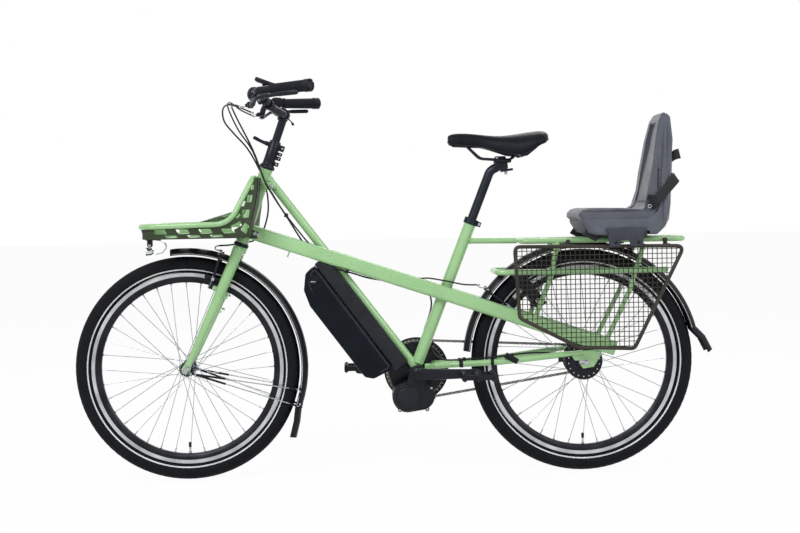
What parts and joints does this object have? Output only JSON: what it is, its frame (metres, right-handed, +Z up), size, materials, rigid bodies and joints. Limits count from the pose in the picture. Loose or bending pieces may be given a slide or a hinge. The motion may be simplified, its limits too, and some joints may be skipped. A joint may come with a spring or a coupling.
{
  "type": "utility bike",
  "caption": "Step-through utility bike with front cargo tray, mid motor, frame battery, rear rack, side guard and child seat.",
  "frame": {"origin": "on the ground under the middle of the bike's overall box", "axes": "+X to the rear, +Y to the bike's right-hand side, +Z up"},
  "size_m": [1.8899, 0.7276, 1.172],
  "materials": {
    "green_paint": "gloss light green powder coat",
    "black_alloy": "black anodised",
    "black_plastic": "moulded, satin",
    "grey_plastic": "moulded, fine grain",
    "bright_steel": "plated",
    "alloy_rim": "dark anodised, machined brake track",
    "tyre": "ribbed rubber with a reflective line",
    "grip_rubber": "matt",
    "black_wire": "dark brown-black coating",
    "webbing": "woven strap"
  },
  "bodies": {
    "frame": {"head_and_down_tube": "green_paint", "seat_tube_and_stay": "green_paint", "side_tube_left": "green_paint", "side_tube_right": "green_paint", "chainstays": "green_paint", "seat_clamp": "black_alloy", "rear_rack": "green_paint", "rack_rear_legs": "green_paint", "pannier_guard": "black_wire", "front_tray": "green_paint", "lamp_bracket": "black_plastic", "battery_mount": "black_plastic", "battery_case": "black_plastic", "motor_unit": "black_plastic", "chain": "bright_steel", "rear_axle": "bright_steel", "rear_mudguard": "black_plastic", "ring_lock": "black_plastic", "child_seat_mount": "black_plastic", "child_seat_shell": "grey_plastic", "child_seat_harness": "webbing", "gear_cable": "grip_rubber", "rear_brake_cable": "grip_rubber"},
    "steering": {"fork": "green_paint", "stem_clamp": "black_alloy", "front_axle": "bright_steel", "front_mudguard": "black_plastic", "front_brake_cable": "grip_rubber"},
    "cockpit": {"handlebar": "black_alloy", "stem_post": "black_alloy", "grip_left": "grip_rubber", "grip_right": "grip_rubber", "brake_bracket_left": "black_alloy", "brake_bracket_right": "black_alloy", "bell": "black_plastic", "display": "black_plastic"},
    "front_wheel": {"front_tyre": "tyre", "front_rim": "alloy_rim", "front_hub": "alloy_rim"},
    "rear_wheel": {"rear_tyre": "tyre", "rear_rim": "alloy_rim", "rear_hub": "black_alloy"},
    "sprocket": {"rear_sprocket": "bright_steel"},
    "drive": {"crank_left": "black_alloy", "crank_right": "black_alloy"},
    "left_pedal": {"pedal_left": "black_plastic"},
    "right_pedal": {"pedal_right": "black_plastic"},
    "clamp_lever": {"stem_lever": "black_alloy"},
    "left_lever": {"brake_lever_left": "black_alloy"},
    "right_lever": {"brake_lever_right": "black_alloy"},
    "shifter": {"twist_shifter": "grip_rubber"},
    "front_left_arm": {"front_brake_arm_left": "black_alloy"},
    "front_right_arm": {"front_brake_arm_right": "black_alloy"},
    "rear_left_arm": {"rear_brake_arm_left": "black_alloy"},
    "rear_right_arm": {"rear_brake_arm_right": "black_alloy"},
    "post": {"seatpost": "black_alloy"},
    "saddle": {"saddle_rails": "bright_steel", "saddle_cushion": "grip_rubber"},
    "lamp": {"headlamp": "bright_steel"},
    "key": {"battery_key": "bright_steel"}
  },
  "joints": [
    {"name": "steer", "type": "hinge", "parent": "frame", "child": "steering", "pos_m": [-0.4475, 0, 0.698], "axis": [0.3371, 0, 0.9415], "range_deg": [-60, 60], "deforming": ["gear_cable", "rear_brake_cable"]},
    {"name": "stem_slide", "type": "slide", "parent": "steering", "child": "cockpit", "axis": [0.3371, 0, 0.9415], "range_m": [0, 0.08], "deforming": ["front_brake_cable"]},
    {"name": "front_wheel_spin", "type": "hinge", "parent": "steering", "child": "front_wheel", "pos_m": [-0.615, 0, 0.33], "axis": [0, 1, 0], "continuous": true},
    {"name": "rear_wheel_spin", "type": "hinge", "parent": "frame", "child": "rear_wheel", "pos_m": [0.554, 0, 0.33], "axis": [0, 1, 0], "continuous": true},
    {"name": "crank_spin", "type": "hinge", "parent": "frame", "child": "drive", "pos_m": [0.062, 0, 0.305], "axis": [0, 1, 0], "continuous": true},
    {"name": "sprocket_spin", "type": "hinge", "parent": "frame", "child": "sprocket", "pos_m": [0.554, 0, 0.33], "axis": [0, 1, 0], "continuous": true},
    {"name": "left_pedal_spin", "type": "hinge", "parent": "drive", "child": "left_pedal", "pos_m": [0.232, -0.142, 0.305], "axis": [0, 1, 0], "continuous": true},
    {"name": "right_pedal_spin", "type": "hinge", "parent": "drive", "child": "right_pedal", "pos_m": [-0.108, 0.142, 0.305], "axis": [0, 1, 0], "continuous": true},
    {"name": "clamp_lever_turn", "type": "hinge", "parent": "steering", "child": "clamp_lever", "pos_m": [-0.36802, 0, 0.9882], "axis": [0, 1, 0], "range_deg": [-50, 25]},
    {"name": "left_lever_pull", "type": "hinge", "parent": "cockpit", "child": "left_lever", "pos_m": [-0.396, -0.232, 1.084], "axis": [0, 0, 1], "range_deg": [0, 12], "stiffness_Nm_per_rad": 3, "springref_deg": -5.73},
    {"name": "right_lever_pull", "type": "hinge", "parent": "cockpit", "child": "right_lever", "pos_m": [-0.396, 0.232, 1.084], "axis": [0, 0, -1], "range_deg": [0, 12], "stiffness_Nm_per_rad": 3, "springref_deg": -5.73},
    {"name": "shifter_twist", "type": "hinge", "parent": "cockpit", "child": "shifter", "pos_m": [-0.3616, 0.2438, 1.123], "axis": [0.8625, 0.5051, 0.0311], "range_deg": [-60, 60]},
    {"name": "front_left_arm_close", "type": "hinge", "parent": "steering", "child": "front_left_arm", "pos_m": [-0.538, -0.04, 0.571], "axis": [-0.9526, 0, 0.3043], "range_deg": [0, 2.5], "stiffness_Nm_per_rad": 1, "springref_deg": -5.73},
    {"name": "front_right_arm_close", "type": "hinge", "parent": "steering", "child": "front_right_arm", "pos_m": [-0.538, 0.04, 0.571], "axis": [0.9526, 0, -0.3043], "range_deg": [0, 2.5], "stiffness_Nm_per_rad": 1, "springref_deg": -5.73},
    {"name": "rear_left_arm_close", "type": "hinge", "parent": "frame", "child": "rear_left_arm", "pos_m": [0.35195, -0.034, 0.48226], "axis": [-0.6018, 0, -0.7986], "range_deg": [0, 2.5], "stiffness_Nm_per_rad": 1, "springref_deg": -5.73},
    {"name": "rear_right_arm_close", "type": "hinge", "parent": "frame", "child": "rear_right_arm", "pos_m": [0.35195, 0.034, 0.48226], "axis": [0.6018, 0, 0.7986], "range_deg": [0, 2.5], "stiffness_Nm_per_rad": 1, "springref_deg": -5.73},
    {"name": "seatpost_slide", "type": "slide", "parent": "frame", "child": "post", "axis": [0.3697, 0, 0.9291], "range_m": [-0.12, 0.05]},
    {"name": "saddle_tilt", "type": "hinge", "parent": "post", "child": "saddle", "pos_m": [0.319, 0, 0.912], "axis": [0, 1, 0], "range_deg": [-8, 8]},
    {"name": "headlamp_tilt", "type": "hinge", "parent": "frame", "child": "lamp", "pos_m": [-0.718, 0, 0.694], "axis": [0, 1, 0], "range_deg": [-20, 20]},
    {"name": "key_turn", "type": "hinge", "parent": "frame", "child": "key", "pos_m": [-0.239, -0.041, 0.585], "axis": [0, 1, 0], "range_deg": [-90, 0]}
  ],
  "couplings": [
    {"joint": "sprocket_spin", "follows": "crank_spin", "ratio": 2.3158},
    {"joint": "front_left_arm_close", "follows": "left_lever_pull", "ratio": 0.2},
    {"joint": "front_right_arm_close", "follows": "left_lever_pull", "ratio": 0.2},
    {"joint": "rear_left_arm_close", "follows": "right_lever_pull", "ratio": 0.2},
    {"joint": "rear_right_arm_close", "follows": "right_lever_pull", "ratio": 0.2}
  ]
}
